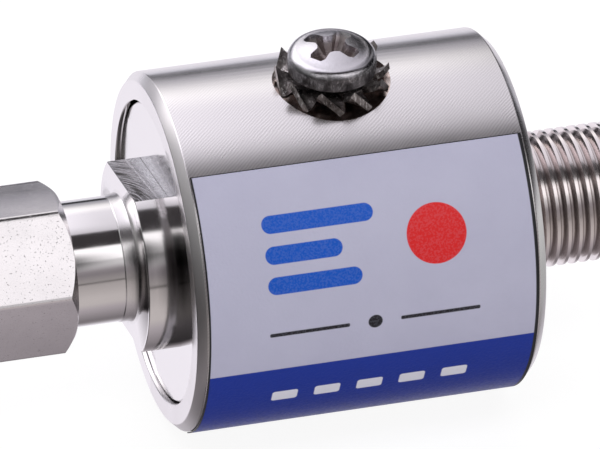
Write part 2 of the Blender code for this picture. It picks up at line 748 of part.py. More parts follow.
def make_label():
    """A printed film wrapped round the front of the barrel between its chamfers."""
    inner = BODY_RADIUS + LABEL_STANDOFF
    low = X_BODY + BODY_CHAMFER + LABEL_MARGIN
    high = X_BODY_END - BODY_CHAMFER - LABEL_MARGIN
    span = LABEL_BOTTOM - LABEL_TOP
    steps = round(span / math.radians(5)) + 1
    label = revolve("label", [(high, inner), (low, inner)], PARTS, steps, False, span, LABEL_TOP + math.pi)
    film = label.modifiers.new("Film", "SOLIDIFY")
    film.thickness = LABEL_THICKNESS
    film.offset = 1.0
    place_along_x(label)
    return set_material(apply_all(label), FILM)


make_barrel()
make_end_plug()
make_coupling_nut()
make_nut_snap_ring()
make_plug_seal()
make_insulators()
make_centre_pin()
make_centre_conductor()
make_jack_contact()
make_gas_tube()
make_gas_tube_cup()
make_gas_tube_spring()
make_ground_screw()
make_star_washer()
make_label()
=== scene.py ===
"""Looks of an in-line coaxial surge arrestor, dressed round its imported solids.

The line runs along X from the coupling nut at the origin to the threaded jack, and the ground
screw points up. Sizes are in millimetres and become metres as each mesh is made.
"""
import math

import bmesh
import bpy
from mathutils import Matrix, Vector


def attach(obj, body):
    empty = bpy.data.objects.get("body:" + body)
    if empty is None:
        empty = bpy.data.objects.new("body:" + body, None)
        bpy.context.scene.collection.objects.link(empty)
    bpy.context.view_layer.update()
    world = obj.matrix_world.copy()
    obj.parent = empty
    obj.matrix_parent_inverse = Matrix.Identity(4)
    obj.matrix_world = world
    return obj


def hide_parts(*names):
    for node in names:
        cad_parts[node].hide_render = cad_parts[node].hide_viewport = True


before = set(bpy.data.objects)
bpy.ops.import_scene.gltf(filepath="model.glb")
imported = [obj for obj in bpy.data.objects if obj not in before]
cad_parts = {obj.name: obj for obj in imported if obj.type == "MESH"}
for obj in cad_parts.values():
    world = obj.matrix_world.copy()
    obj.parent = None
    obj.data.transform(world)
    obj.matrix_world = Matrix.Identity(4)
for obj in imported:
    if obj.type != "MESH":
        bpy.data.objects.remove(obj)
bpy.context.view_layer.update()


# Barrel: the brass body, turned in one piece with the threaded jack on its rear end.
# It is brushed on a slant and plated with bright nickel. The thread is cut after turning,
# and a seat is milled round the tapped hole for the ground screw.
MM = 0.001
FINE_FACETS = 144
BODY_RADIUS = 12.5
BODY_START = 17.53
BODY_END = 42.13
BODY_CHAMFER = 0.6
LINE_BORE = 2.6
LINE_POCKET = 3.5
LINE_POCKET_END = 40.23
CAVITY = 7.5
CAVITY_END = 37.63
MOUTH = 10.55
MOUTH_END = 21.45
JACK_END = 52.63
JACK_CREST = 4.7625
JACK_ROOT = 4.2625
JACK_PITCH = 25.4 / 32
JACK_THREAD_START = BODY_END + 0.55
JACK_THREAD_END = JACK_END - 0.12
SCREW_X = 29.88
SEAT_RADIUS = 4.05
SEAT_Z = math.sqrt(BODY_RADIUS ** 2 - SEAT_RADIUS ** 2)
TAPPED_HOLE = 1.65
TAPPED_HOLE_BOTTOM = 8.46
ABOVE_SEAT = 14.0
BRUSH_PITCH = 0.19
NICKEL = (0.80, 0.785, 0.785)


def eased(corners, steps=3):
    """Round each corner given as (x, r, ease) with a small arc, and keep corners given as (x, r)."""
    path = []
    count = len(corners)
    for index, corner in enumerate(corners):
        here = Vector(corner[:2])
        ease = corner[2] if len(corner) > 2 else 0.0
        if not ease:
            path.append(tuple(here))
            continue
        back = (Vector(corners[index - 1][:2]) - here).normalized()
        on = (Vector(corners[(index + 1) % count][:2]) - here).normalized()
        for step in range(steps + 1):
            share = step / steps
            near = here + back * ease * (1 - share)
            far = here + on * ease * share
            path.append(tuple(near.lerp(far, share)))
    return path


def ring_point(x, radius, turn):
    """A point in metres at a turn from the top, round the line towards the front."""
    return Vector((x, -radius * math.sin(turn), radius * math.cos(turn))) * MM


def swept(shell, path, facets, start=0.0, sweep=2 * math.pi, closed=True):
    """Sweep a path of (x, r) points round the line, whole or part of the way."""
    whole = abs(sweep - 2 * math.pi) < 0.000001
    columns = facets if whole else facets + 1
    rings = []
    for x, radius in path:
        if radius == 0.0:
            rings.append([shell.verts.new(ring_point(x, 0.0, 0.0))] * columns)
            continue
        turns = [start + sweep * column / facets for column in range(columns)]
        rings.append([shell.verts.new(ring_point(x, radius, turn)) for turn in turns])
    pairs = list(zip(rings, rings[1:]))
    if closed:
        pairs.append((rings[-1], rings[0]))
    for first, second in pairs:
        for column in range(facets):
            after = (column + 1) % columns
            corners = [first[column], first[after], second[after], second[column]]
            corners = list(dict.fromkeys(corners))
            if len(corners) > 2:
                shell.faces.new(corners)
    if closed and not whole:
        shell.faces.new([ring[0] for ring in rings])
        shell.faces.new([ring[-1] for ring in reversed(rings)])
    return rings


def finished_mesh(name, shell, crease=32):
    """A mesh with outward normals, smooth but for the edges sharper than the crease."""
    bmesh.ops.recalc_face_normals(shell, faces=shell.faces)
    mesh = bpy.data.meshes.new(name)
    shell.to_mesh(mesh)
    shell.free()
    mesh.shade_smooth()
    mesh.set_sharp_from_angle(angle=math.radians(crease))
    return mesh


def placed(name, data):
    """A new object in the scene, from a mesh, a light or a camera."""
    piece = bpy.data.objects.new(name, data)
    bpy.context.scene.collection.objects.link(piece)
    return piece


def painted(piece, finish):
    """Give a piece one finish and no other."""
    piece.data.materials.clear()
    piece.data.materials.append(finish)


def turned(name, path, facets=FINE_FACETS, closed=True):
    """A turned piece along the line, from a closed section or a path from axis to axis."""
    shell = bmesh.new()
    swept(shell, path, facets, closed=closed)
    return placed(name, finished_mesh(name, shell))


def stood_up(piece, x):
    """Turn a piece made along the line so that its own X points up, at a place on the line."""
    upright = Matrix.Translation((x * MM, 0.0, 0.0)) @ Matrix.Rotation(-math.pi / 2, 4, "Y")
    piece.data.transform(upright)
    return piece


def applied(piece, crease=32):
    """Turn the modifiers into the piece's own mesh."""
    bpy.context.view_layer.update()
    evaluated = piece.evaluated_get(bpy.context.evaluated_depsgraph_get())
    mesh = bpy.data.meshes.new_from_object(evaluated)
    piece.modifiers.clear()
    piece.data = mesh
    mesh.shade_smooth()
    mesh.set_sharp_from_angle(angle=math.radians(crease))
    return piece


def combined(piece, tool, operation="DIFFERENCE"):
    """Cut or join a piece with a tool, which is used up."""
    boolean = piece.modifiers.new("Machining", "BOOLEAN")
    boolean.operation = operation
    boolean.solver = "EXACT"
    boolean.object = tool
    applied(piece)
    bpy.data.objects.remove(tool, do_unlink=True)
    return piece


def put_node(tree, kind, inputs=None, **settings):
    """Add a node, set its options, and link or fill its inputs."""
    node = tree.nodes.new(kind)
    for option, value in settings.items():
        setattr(node, option, value)
    for key, value in (inputs or {}).items():
        if isinstance(value, bpy.types.NodeSocket):
            tree.links.new(value, node.inputs[key])
        else:
            node.inputs[key].default_value = value
    return node


def tree_of(terms):
    """The node tree of the first socket among some sockets and numbers."""
    return next(term.id_data for term in terms if isinstance(term, bpy.types.NodeSocket))


def reckon(operation, *terms, clamp=False):
    """The result of a math node, from sockets and numbers."""
    inputs = dict(enumerate(terms))
    tree = tree_of(terms)
    return put_node(tree, "ShaderNodeMath", inputs, operation=operation, use_clamp=clamp).outputs[0]


def times(first, *rest):
    for term in rest:
        first = reckon("MULTIPLY", first, term)
    return first


def plus(first, *rest):
    for term in rest:
        first = reckon("ADD", first, term)
    return first


def minus(first, second):
    return reckon("SUBTRACT", first, second)


def hypotenuse(first, second):
    """The distance that two lengths at a right angle reach."""
    squares = [reckon("POWER", length, 2.0) for length in (first, second)]
    return reckon("SQRT", plus(*squares))


def vector_of(x, y, z=0.0):
    return put_node(tree_of((x, y, z)), "ShaderNodeCombineXYZ", {"X": x, "Y": y, "Z": z}).outputs[0]


def between(value, low, high, to_low=0.0, to_high=1.0, smooth=False):
    """Map a value from one range to another, held at both ends."""
    inputs = {"Value": value, "From Min": low, "From Max": high, "To Min": to_low, "To Max": to_high}
    kind = "SMOOTHSTEP" if smooth else "LINEAR"
    node = put_node(value.id_data, "ShaderNodeMapRange", inputs, interpolation_type=kind)
    return node.outputs["Result"]


def window(value, start, full, fade, end):
    """1 from full to fade, and down to 0 at start and at end."""
    return times(between(value, start, full), between(value, fade, end, 1.0, 0.0))


def new_group(name, inputs, result):
    """A node tree with named inputs, a finish to paint with, and one mesh as its result."""
    tree = bpy.data.node_groups.new(name, "GeometryNodeTree")
    for kind, titles in inputs.items():
        for title in titles:
            tree.interface.new_socket(title, in_out="INPUT", socket_type="NodeSocket" + kind)
    tree.interface.new_socket("Finish", in_out="INPUT", socket_type="NodeSocketMaterial")
    tree.interface.new_socket(result, in_out="OUTPUT", socket_type="NodeSocketGeometry")
    return tree, put_node(tree, "NodeGroupInput").outputs


def hand_out(tree, given, geometry, result):
    """Make a tree's mesh real, paint it with the given finish, and hand it out."""
    real = put_node(tree, "GeometryNodeRealizeInstances", {"Geometry": geometry}).outputs[0]
    coated = put_node(tree, "GeometryNodeSetMaterial", {"Geometry": real, "Material": given["Finish"]})
    put_node(tree, "NodeGroupOutput", {result: coated.outputs[0]})


def thread_tree():
    """A tree that winds a screw thread as an open sleeve along X, with both its ends at the root."""
    sizes = ("Root Radius", "Depth", "Pitch", "Start", "End", "Run Out", "Lead", "Crest Flat", "Root Flat")
    tree, given = new_group("wound_thread", {"Float": sizes, "Int": ("Facets", "Rows Per Turn")}, "Thread")
    length = minus(given["End"], given["Start"])
    turns = plus(reckon("CEIL", reckon("DIVIDE", length, given["Pitch"])), 1.0)
    rows = plus(times(turns, given["Rows Per Turn"]), 1.0)
    columns = plus(given["Facets"], 1.0)
    grid = put_node(tree, "GeometryNodeMeshGrid", {"Vertices X": columns, "Vertices Y": rows})
    index = put_node(tree, "GeometryNodeInputIndex").outputs["Index"]
    column = reckon("FLOOR", reckon("DIVIDE", plus(index, 0.5), rows))
    row = minus(index, times(column, rows))
    share = reckon("DIVIDE", column, given["Facets"])
    step = reckon("DIVIDE", row, given["Rows Per Turn"])
    advance = minus(plus(step, share), 1.0)
    free_x = reckon("MULTIPLY_ADD", advance, given["Pitch"], given["Start"])
    x = reckon("MINIMUM", reckon("MAXIMUM", free_x, given["Start"]), given["End"])
    swing = reckon("MULTIPLY_ADD", reckon("FRACT", plus(step, 0.0001)), 2.0, -1.0)
    off_root = reckon("ABSOLUTE", swing)
    flank = between(off_root, given["Root Flat"], minus(1.0, given["Crest Flat"]))
    rising = reckon("DIVIDE", minus(x, given["Start"]), given["Run Out"], clamp=True)
    falling = reckon("DIVIDE", minus(given["End"], x), given["Lead"], clamp=True)
    height = reckon("MINIMUM", flank, reckon("MINIMUM", rising, falling))
    radius = reckon("MULTIPLY_ADD", height, given["Depth"], given["Root Radius"])
    turn = times(share, 2 * math.pi)
    y = times(radius, reckon("SINE", turn), -1.0)
    z = times(radius, reckon("COSINE", turn))
    place = vector_of(x, y, z)
    wound = put_node(tree, "GeometryNodeSetPosition", {"Geometry": grid.outputs["Mesh"], "Position": place})
    nearness = {"Geometry": wound.outputs[0], "Distance": 0.0000002}
    hand_out(tree, given, put_node(tree, "GeometryNodeMergeByDistance", nearness).outputs[0], "Thread")
    return tree


def made_by_tree(name, tree, values):
    """The plain mesh that a node tree makes from its named inputs."""
    maker = placed(name, bpy.data.meshes.new(name))
    modifier = maker.modifiers.new("Maker", "NODES")
    modifier.node_group = tree
    for item in tree.interface.items_tree:
        if item.in_out == "INPUT" and item.name in values:
            modifier[item.identifier] = values[item.name]
    bpy.context.view_layer.update()
    mesh = bpy.data.meshes.new_from_object(maker.evaluated_get(bpy.context.evaluated_depsgraph_get()))
    bpy.data.objects.remove(maker, do_unlink=True)
    return mesh


THREAD_TREE = thread_tree()


def threaded(piece, root, depth, pitch, start, end, run_out, lead, finish, facets=FINE_FACETS, rows=14,
             crest_flat=0.30, root_flat=0.16):
    """Take the plain wall at the root radius off a turned piece, and weld a thread in its place."""
    sleeve = made_by_tree(
        "thread_sleeve",
        THREAD_TREE,
        {
            "Root Radius": root * MM,
            "Depth": depth * MM,
            "Pitch": pitch * MM,
            "Start": start * MM,
            "End": end * MM,
            "Run Out": run_out * MM,
            "Lead": lead * MM,
            "Crest Flat": crest_flat,
            "Root Flat": root_flat,
            "Facets": facets,
            "Rows Per Turn": rows,
            "Finish": finish,
        },
    )
    shell = bmesh.new()
    shell.from_mesh(piece.data)
    slack = 0.001 * MM

    def on_wall(vert):
        radius = math.hypot(vert.co.y, vert.co.z)
        inside = start * MM - slack < vert.co.x < end * MM + slack
        return inside and abs(radius - root * MM) < slack

    wall = [face for face in shell.faces if all(on_wall(vert) for vert in face.verts)]
    bmesh.ops.delete(shell, geom=wall, context="FACES")
    shell.from_mesh(sleeve)
    bmesh.ops.remove_doubles(shell, verts=shell.verts, dist=0.0006 * MM)
    piece.data = finished_mesh(piece.name, shell, crease=38)
    bpy.data.meshes.remove(sleeve)
    return piece


def new_finish(name, color, roughness, metallic=0.0, **more):
    """A material whose uniform values sit on the shader's own sockets."""
    finish = bpy.data.materials.new(name)
    finish.use_nodes = True
    shader = finish.node_tree.nodes["Principled BSDF"]
    shader.inputs["Base Color"].default_value = (*color, 1.0)
    shader.inputs["Roughness"].default_value = roughness
    shader.inputs["Metallic"].default_value = metallic
    for socket, value in more.items():
        shader.inputs[socket.replace("_", " ")].default_value = value
    return finish, finish.node_tree, shader


def own_millimetres(tree):
    """The point's place in millimetres, whole and as X, Y and Z."""
    place = put_node(tree, "ShaderNodeTexCoord").outputs["Object"]
    scaled = put_node(tree, "ShaderNodeVectorMath", {0: place, 3: 1 / MM}, operation="SCALE").outputs[0]
    split = put_node(tree, "ShaderNodeSeparateXYZ", {0: scaled}).outputs
    return scaled, split["X"], split["Y"], split["Z"]


def round_line(y, z):
    """Distance from the line and the turn round it from the top towards the front."""
    return hypotenuse(y, z), reckon("ARCTAN2", times(y, -1.0), z)


def mottled(place, scale, detail=3.0, roughness=0.55):
    inputs = {"Vector": place, "Scale": scale, "Detail": detail, "Roughness": roughness}
    return put_node(place.id_data, "ShaderNodeTexNoise", inputs).outputs["Fac"]


def stretched(place, x, y, z):
    """The place scaled along each axis, for marks that run one way."""
    inputs = {0: place, 1: (x, y, z)}
    return put_node(place.id_data, "ShaderNodeVectorMath", inputs, operation="MULTIPLY").outputs[0]


def lathe_rings(x, radius, fineness, detail):
    """Noise that runs round the line, as a turning tool leaves it."""
    place = stretched(vector_of(x, radius), fineness, fineness, 1.0)
    return mottled(place, 1.0, detail)


def blended(share, first, second):
    """A colour between two, each a colour or a socket."""
    tree = share.id_data
    node = put_node(tree, "ShaderNodeMix", {"Factor": share}, data_type="RGBA")
    for key, color in ((6, first), (7, second)):
        if isinstance(color, bpy.types.NodeSocket):
            tree.links.new(color, node.inputs[key])
        else:
            node.inputs[key].default_value = (*color, 1.0)
    return node.outputs[2]


def embossed(shader, height, depth, under=None):
    """Raise the surface by a height in millimetres, over an earlier relief if there is one."""
    tree = shader.id_data
    inputs = {"Height": height, "Distance": depth * MM, "Strength": 1.0}
    if under:
        inputs["Normal"] = under
    normal = put_node(tree, "ShaderNodeBump", inputs).outputs["Normal"]
    tree.links.new(normal, shader.inputs["Normal"])
    return normal


def linked(shader, **patterns):
    """Link patterns to the shader's sockets of those names."""
    for socket, pattern in patterns.items():
        shader.id_data.links.new(pattern, shader.inputs[socket.replace("_", " ")])


def barrel_nickel():
    """Bright nickel over slanted brushing on the outside and turning rings on the ends."""
    finish, tree, shader = new_finish("barrel_nickel", NICKEL, 0.2, 1.0)
    place, x, y, z = own_millimetres(tree)
    radius, turn = round_line(y, z)
    slant = plus(times(x, 0.6725), times(turn, BODY_RADIUS, 0.7405))
    wander = times(mottled(place, 0.6), 0.35)
    brushing = reckon("SINE", times(plus(slant, wander), 2 * math.pi / BRUSH_PITCH))
    hatch = times(
        brushing,
        between(mottled(place, 0.45), 0.35, 0.65, 0.5, 1.0),
        between(turn, -0.15, 0.4, 0.2, 1.0),
        between(radius, BODY_RADIUS - 0.05, BODY_RADIUS - 0.01),
    )
    under = embossed(shader, lathe_rings(x, radius, 9.0, 4.0), 0.0012)
    embossed(shader, hatch, 0.0013, under)
    on_jack = between(x, BODY_END - 0.02, BODY_END + 0.02)
    front_break = between(x, BODY_START + BODY_CHAMFER - 0.03, BODY_START + BODY_CHAMFER, 1.0, 0.0)
    rear_break = between(x, BODY_END - BODY_CHAMFER, BODY_END - BODY_CHAMFER + 0.03)
    on_break = times(
        reckon("MULTIPLY_ADD", rear_break, -0.5, front_break),
        between(radius, BODY_RADIUS - BODY_CHAMFER + 0.02, BODY_RADIUS - BODY_CHAMFER + 0.06),
    )
    rough = plus(
        between(mottled(place, 0.35, 5.0), 0.3, 0.7, 0.21, 0.26),
        between(turn, -0.52, -0.32, -0.165, 0.0),
        between(turn, 0.2, 0.5, 0.0, 0.06),
        times(on_break, 0.12),
        times(on_jack, -0.08),
    )
    # The jack's thread is painted darker towards its roots.
    root_darkening = times(
        between(radius, JACK_ROOT, JACK_CREST - 0.12, 1.0, 0.0),
        between(radius, JACK_CREST + 0.05, JACK_CREST + 0.1, 1.0, 0.0),
        on_jack,
        0.5,
    )
    lined = blended(between(hatch, -0.8, 0.8), (0.72, 0.70, 0.705), (0.86, 0.845, 0.845))
    clean = blended(on_jack, lined, (0.82, 0.77, 0.76))
    color = blended(root_darkening, clean, (0.34, 0.30, 0.29))
    from_screw = hypotenuse(minus(x, SCREW_X), y)
    # The seat's floor under the washer is tinted dark brown: dirt, and painted shade.
    seat_dirt_and_shade = times(
        between(from_screw, SEAT_RADIUS - 0.01, SEAT_RADIUS + 0.01, 1.0, 0.0),
        window(z, SEAT_Z - 0.03, SEAT_Z - 0.01, SEAT_Z + 0.01, SEAT_Z + 0.03),
        between(mottled(place, 1.6, 4.0), 0.35, 0.65, 0.55, 1.0),
    )
    color = blended(seat_dirt_and_shade, color, (0.56, 0.44, 0.39))
    linked(shader, Base_Color=color, Roughness=rough)
    return finish


BARREL_NICKEL = barrel_nickel()
barrel_path = eased([
    (BODY_START, BODY_RADIUS - BODY_CHAMFER, 0.05),
    (BODY_START + BODY_CHAMFER, BODY_RADIUS, 0.06),
    (BODY_END - BODY_CHAMFER, BODY_RADIUS, 0.06),
    (BODY_END, BODY_RADIUS - BODY_CHAMFER, 0.05),
    (BODY_END, JACK_ROOT),
    (JACK_THREAD_START, JACK_ROOT),
    (JACK_THREAD_END, JACK_ROOT),
    (JACK_END, JACK_ROOT - 0.12),
    (JACK_END, LINE_BORE, 0.1),
    (LINE_POCKET_END, LINE_BORE),
    (LINE_POCKET_END, LINE_POCKET),
    (CAVITY_END, LINE_POCKET),
    (CAVITY_END, CAVITY),
    (MOUTH_END, CAVITY),
    (MOUTH_END, MOUTH),
    (BODY_START + 0.07, MOUTH, 0.02),
    (BODY_START, MOUTH + 0.07, 0.02),
])
barrel = turned("barrel_shell", barrel_path)
seat_path = [
    (TAPPED_HOLE_BOTTOM, 0.0),
    (TAPPED_HOLE_BOTTOM, TAPPED_HOLE),
    (SEAT_Z, TAPPED_HOLE),
    (SEAT_Z, SEAT_RADIUS),
    (ABOVE_SEAT, SEAT_RADIUS),
    (ABOVE_SEAT, 0.0),
]
combined(barrel, stood_up(turned("seat_tool", seat_path, 96, closed=False), SCREW_X))
threaded(barrel, JACK_ROOT, JACK_CREST - JACK_ROOT, JACK_PITCH, JACK_THREAD_START, JACK_THREAD_END,
         run_out=0.35, lead=0.5, finish=BARREL_NICKEL)
for edge in barrel.data.edges:
    if all(abs(barrel.data.vertices[corner].co.z - SEAT_Z * MM) < 0.002 * MM for corner in edge.vertices):
        barrel.data.attributes["sharp_edge"].data[edge.index].value = True
painted(barrel, BARREL_NICKEL)
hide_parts("barrel")
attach(barrel, "root")


# End plug: flange, wrench collar and neck, turned from one bar and screwed into the barrel's mouth.
# Its face is polished like a mirror, and the collar's two flats still show the mill's sweep.
NECK = 4.35
NECK_END = 14.5
NECK_INNER = 3.7
COLLAR = 6.8
COLLAR_START = 15.5
FLANGE_FACE = 17.85
FLANGE = 10.4
FLAT_HALF = 5.55
WRENCH_TURN = math.radians(14)


def plug_nickel():
    """Polished nickel with turning rings, mill marks and painted highlights on the two flats, and painted
    shade in the corners on the front side.
    """
    finish, tree, shader = new_finish("plug_nickel", NICKEL, 0.08, 1.0)
    place, x, y, z = own_millimetres(tree)
    radius, turn = round_line(y, z)
    leaning = plus(times(z, math.cos(WRENCH_TURN)), times(y, math.sin(WRENCH_TURN)))
    across = reckon("ABSOLUTE", leaning)
    milled = times(
        window(across, FLAT_HALF - 0.02, FLAT_HALF - 0.005, FLAT_HALF + 0.005, FLAT_HALF + 0.02),
        window(x, COLLAR_START + 0.02, COLLAR_START + 0.04, FLANGE_FACE - 0.04, FLANGE_FACE - 0.02),
    )
    sweep = hypotenuse(minus(x, COLLAR_START - 5.0), plus(y, 3.0))
    cut_place = stretched(vector_of(sweep, times(y, 0.1)), 6.0, 1.0, 1.0)
    cut_marks = mottled(cut_place, 1.0, 5.0, 0.7)
    under = embossed(shader, lathe_rings(x, radius, 14.0, 3.0), 0.0006)
    embossed(shader, times(cut_marks, milled), 0.035, under)
    smudge = between(mottled(place, 0.5, 5.0), 0.35, 0.7, 0.09, 0.15)
    shoulder = window(x, NECK_END - 0.05, NECK_END + 0.05, COLLAR_START - 0.03, COLLAR_START)
    rough = reckon("MULTIPLY_ADD", reckon("MAXIMUM", shoulder, milled), 0.14, smudge)
    lane = reckon("MULTIPLY_ADD", y, 0.04, x)
    score_place = vector_of(times(sweep, 7.0), times(y, 0.5))
    scores = between(mottled(score_place, 1.0, 4.0, 0.6), 0.44, 0.56)
    first_bite = times(scores, between(lane, COLLAR_START + 0.7, COLLAR_START + 1.5, 1.0, 0.12))
    flat_scores_and_highlights = blended(first_bite, (0.62, 0.61, 0.64), (0.06, 0.055, 0.052))
    # Painted highlights: the flats turn near white towards the flange, with a bright line across them.
    flange_end_highlight = between(lane, COLLAR_START + 1.6, COLLAR_START + 2.0)
    flat_scores_and_highlights = blended(flange_end_highlight, flat_scores_and_highlights, (0.93, 0.93, 0.97))
    from_highlight_line = reckon("ABSOLUTE", minus(lane, COLLAR_START + 1.55))
    flat_scores_and_highlights = blended(between(from_highlight_line, 0.03, 0.1, 0.8, 0.0), flat_scores_and_highlights, (0.92, 0.92, 0.95))
    # Painted shade and dark reflection: the front of the collar's ring face and of the corner by the flange
    # are painted near black.
    ring_face_shade = times(
        window(x, COLLAR_START - 0.14, COLLAR_START - 0.06, COLLAR_START + 0.03, COLLAR_START + 0.06),
        between(radius, COLLAR - 0.25, COLLAR - 0.1, 1.0, 0.0),
        window(turn, 0.75, 1.1, 1.6, 2.3),
    )
    flange_corner_shade = times(
        window(x, 16.1, 17.3, FLANGE_FACE + 0.05, FLANGE_FACE + 0.1),
        between(radius, 7.0, 8.2, 1.0, 0.0),
        window(turn, 0.76, 0.93, 1.2, 1.65),
    )
    painted_corner_shade = times(reckon("MAXIMUM", ring_face_shade, flange_corner_shade), 0.85)
    metal = blended(milled, NICKEL, flat_scores_and_highlights)
    linked(shader, Base_Color=blended(painted_corner_shade, metal, (0.07, 0.06, 0.06)), Roughness=rough)
    return finish


def wrench_flats(piece, start, end, half, reach, turn):
    """Mill two opposite flats on a turned piece between two stations."""
    for side in (1, -1):
        tool = bmesh.new()
        bmesh.ops.create_cube(tool, size=1.0)
        size = Matrix.Diagonal((end - start, 2 * reach, reach, 1.0))
        shift = Matrix.Translation(((start + end) / 2, 0.0, side * (half + reach / 2)))
        spin = Matrix.Rotation(-turn, 4, "X")
        bmesh.ops.transform(tool, verts=tool.verts, matrix=Matrix.Scale(MM, 4) @ spin @ shift @ size)
        combined(piece, placed("flat_tool", finished_mesh("flat_tool", tool)))


PLUG_NICKEL = plug_nickel()
plug_path = eased([
    (6.4, LINE_BORE, 0.08),
    (6.4, NECK_INNER, 0.15),
    (7.6, NECK_INNER),
    (7.6, 3.25),
    (8.55, 3.25),
    (8.55, NECK_INNER),
    (9.95, NECK_INNER),
    (9.95, NECK, 0.1),
    (NECK_END, NECK),
    (NECK_END + 0.06, NECK + 0.05, 0.02),
    (15.1, NECK + 0.05),
    (15.38, NECK + 0.12),
    (COLLAR_START, NECK + 0.34),
    (COLLAR_START, COLLAR, 0.12),
    (FLANGE_FACE, COLLAR),
    (FLANGE_FACE, FLANGE - 0.1, 0.02),
    (FLANGE_FACE + 0.1, FLANGE, 0.02),
    (21.35, FLANGE),
    (21.35, 7.35),
    (22.2, 7.35),
    (22.2, 6.4),
    (23.3, 6.4),
    (23.3, 7.35),
    (24.35, 7.35),
    (24.35, 5.6),
    (21.75, 5.6),
    (21.75, LINE_BORE),
])
plug = turned("plug_body", plug_path)
wrench_flats(plug, COLLAR_START - 1.0, FLANGE_FACE, FLAT_HALF, COLLAR, WRENCH_TURN)
painted(plug, PLUG_NICKEL)
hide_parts("end_plug")
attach(plug, "root")


# Seal, insulators and line: the rubber ring, the white washers that centre the conductor,
# and the gold-plated pin, rod and spring contact. Only the ends show, inside the nut and the jack.
def white_insulator():
    """Turned fluoropolymer, slightly waxy, with faint tool rings."""
    finish, tree, shader = new_finish("white_insulator", (0.88, 0.88, 0.86), 0.42)
    place, _, y, z = own_millimetres(tree)
    rings = reckon("SINE", times(hypotenuse(y, z), 2 * math.pi / 0.16))
    embossed(shader, rings, 0.002)
    shade = between(mottled(place, 1.2), 0.3, 0.7)
    linked(shader, Base_Color=blended(shade, (0.84, 0.84, 0.81), (0.91, 0.91, 0.89)))
    return finish


def gold_contact():
    """Thin gold plate over nickel, worn paler where it rubs."""
    finish, tree, shader = new_finish("gold_contact", (0.86, 0.62, 0.28), 0.2, 1.0)
    place = own_millimetres(tree)[0]
    wear = between(mottled(stretched(place, 0.6, 3.0, 3.0), 1.0, 5.0), 0.35, 0.7)
    color = blended(wear, (0.88, 0.63, 0.27), (0.80, 0.66, 0.42))
    linked(shader, Base_Color=color, Roughness=between(wear, 0.0, 1.0, 0.16, 0.28))
    return finish


def black_rubber():
    finish, tree, shader = new_finish("seal_rubber", (0.03, 0.03, 0.03), 0.65)
    place = own_millimetres(tree)[0]
    embossed(shader, mottled(place, 9.0), 0.01)
    linked(shader, Roughness=between(mottled(place, 2.0), 0.3, 0.7, 0.55, 0.75))
    return finish


def refinished(node, finish):
    """Give a carried-over solid its finish in every slot."""
    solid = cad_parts[node]
    if not solid.material_slots:
        solid.data.materials.append(finish)
    for slot in solid.material_slots:
        slot.link = "OBJECT"
        slot.material = finish


WHITE_INSULATOR = white_insulator()
GOLD_CONTACT = gold_contact()
SEAL_RUBBER = black_rubber()
front_insulator = turned(
    "front_insulator",
    eased([(6.9, 0.6, 0.05), (6.9, 2.5, 0.08), (9.9, 2.5), (9.9, 0.6)]),
    72,
)
front_insulator.data.materials.append(WHITE_INSULATOR)
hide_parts("plug_front_insulator")
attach(front_insulator, "root")
mouth_insulator = turned(
    "mouth_insulator",
    eased([(50.53, 0.75), (50.53, 2.5), (52.33, 2.5, 0.08), (52.33, 1.05, 0.03), (52.0, 0.75, 0.03)]),
    72,
)
mouth_insulator.data.materials.append(WHITE_INSULATOR)
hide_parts("jack_mouth_insulator")
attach(mouth_insulator, "root")
nose = [math.radians(angle) for angle in range(0, 91, 10)]
pin_path = [(0.9 + 0.5 * (1 - math.cos(angle)), 0.5 * math.sin(angle)) for angle in nose]
pin_path[0] = (0.9, 0.0)
centre_pin = turned("centre_pin", pin_path + [(12.9, 0.5), (12.9, 0.0)], 48, closed=False)
centre_pin.data.materials.append(GOLD_CONTACT)
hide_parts("plug_centre_pin")
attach(centre_pin, "root")
refinished("plug_seal_ring", SEAL_RUBBER)
for node in ("plug_rear_insulator", "jack_rear_insulator"):
    refinished(node, WHITE_INSULATOR)
for node in ("centre_conductor", "jack_contact"):
    refinished(node, GOLD_CONTACT)


# Gas discharge tube: a fired alumina tube between two tinned copper electrodes.
# It stands on the conductor's saddle, pressed by a coil spring from a cup on the barrel's wall.
def fired_alumina():
    finish, tree, shader = new_finish("tube_ceramic", (0.88, 0.86, 0.82), 0.4)
    place = own_millimetres(tree)[0]
    embossed(shader, mottled(place, 12.0), 0.006)
    speck = between(mottled(place, 6.0, 6.0), 0.3, 0.7)
    linked(shader, Base_Color=blended(speck, (0.84, 0.81, 0.76), (0.91, 0.89, 0.86)))
    return finish


def tinned_copper():
    finish, tree, shader = new_finish("tube_electrode", (0.72, 0.58, 0.50), 0.3, 1.0)
    tin = between(mottled(own_millimetres(tree)[0], 2.5, 6.0), 0.4, 0.65)
    color = blended(tin, (0.75, 0.52, 0.42), (0.72, 0.70, 0.68))
    linked(shader, Base_Color=color, Roughness=between(tin, 0.0, 1.0, 0.25, 0.42))
    return finish


def drawn_steel():
    finish, tree, shader = new_finish("spring_steel", (0.45, 0.45, 0.47), 0.3, 1.0)
    lines = mottled(stretched(own_millimetres(tree)[0], 2.0, 12.0, 12.0), 1.0, 4.0)
    embossed(shader, lines, 0.004)
    linked(shader, Roughness=between(lines, 0.3, 0.7, 0.25, 0.42))
    return finish


SPRING_STEEL = drawn_steel()
TINNED_COPPER = tinned_copper()
refinished("gas_tube_ceramic", fired_alumina())
for node in ("gas_tube_line_electrode", "gas_tube_earth_electrode"):
    refinished(node, TINNED_COPPER)
for node in ("gas_tube_spring", "nut_snap_ring"):
    refinished(node, SPRING_STEEL)
refinished("gas_tube_cup", PLUG_NICKEL)


# Coupling nut: milled hexagon brass bar, turned to a cone at both ends and threaded inside.
# It turns freely on the plug's neck, held by the snap ring, and its satin nickel shows small pits.
NUT_LENGTH = 11.0
NUT_FLAT = 5.25
NUT_THREAD_ROOT = 4.83
NUT_THREAD_CREST = 4.4
NUT_THREAD_END = 7.6
NUT_CONE = 6.18
NUT_CONE_LENGTH = 0.79
NUT_FACE = 5.2


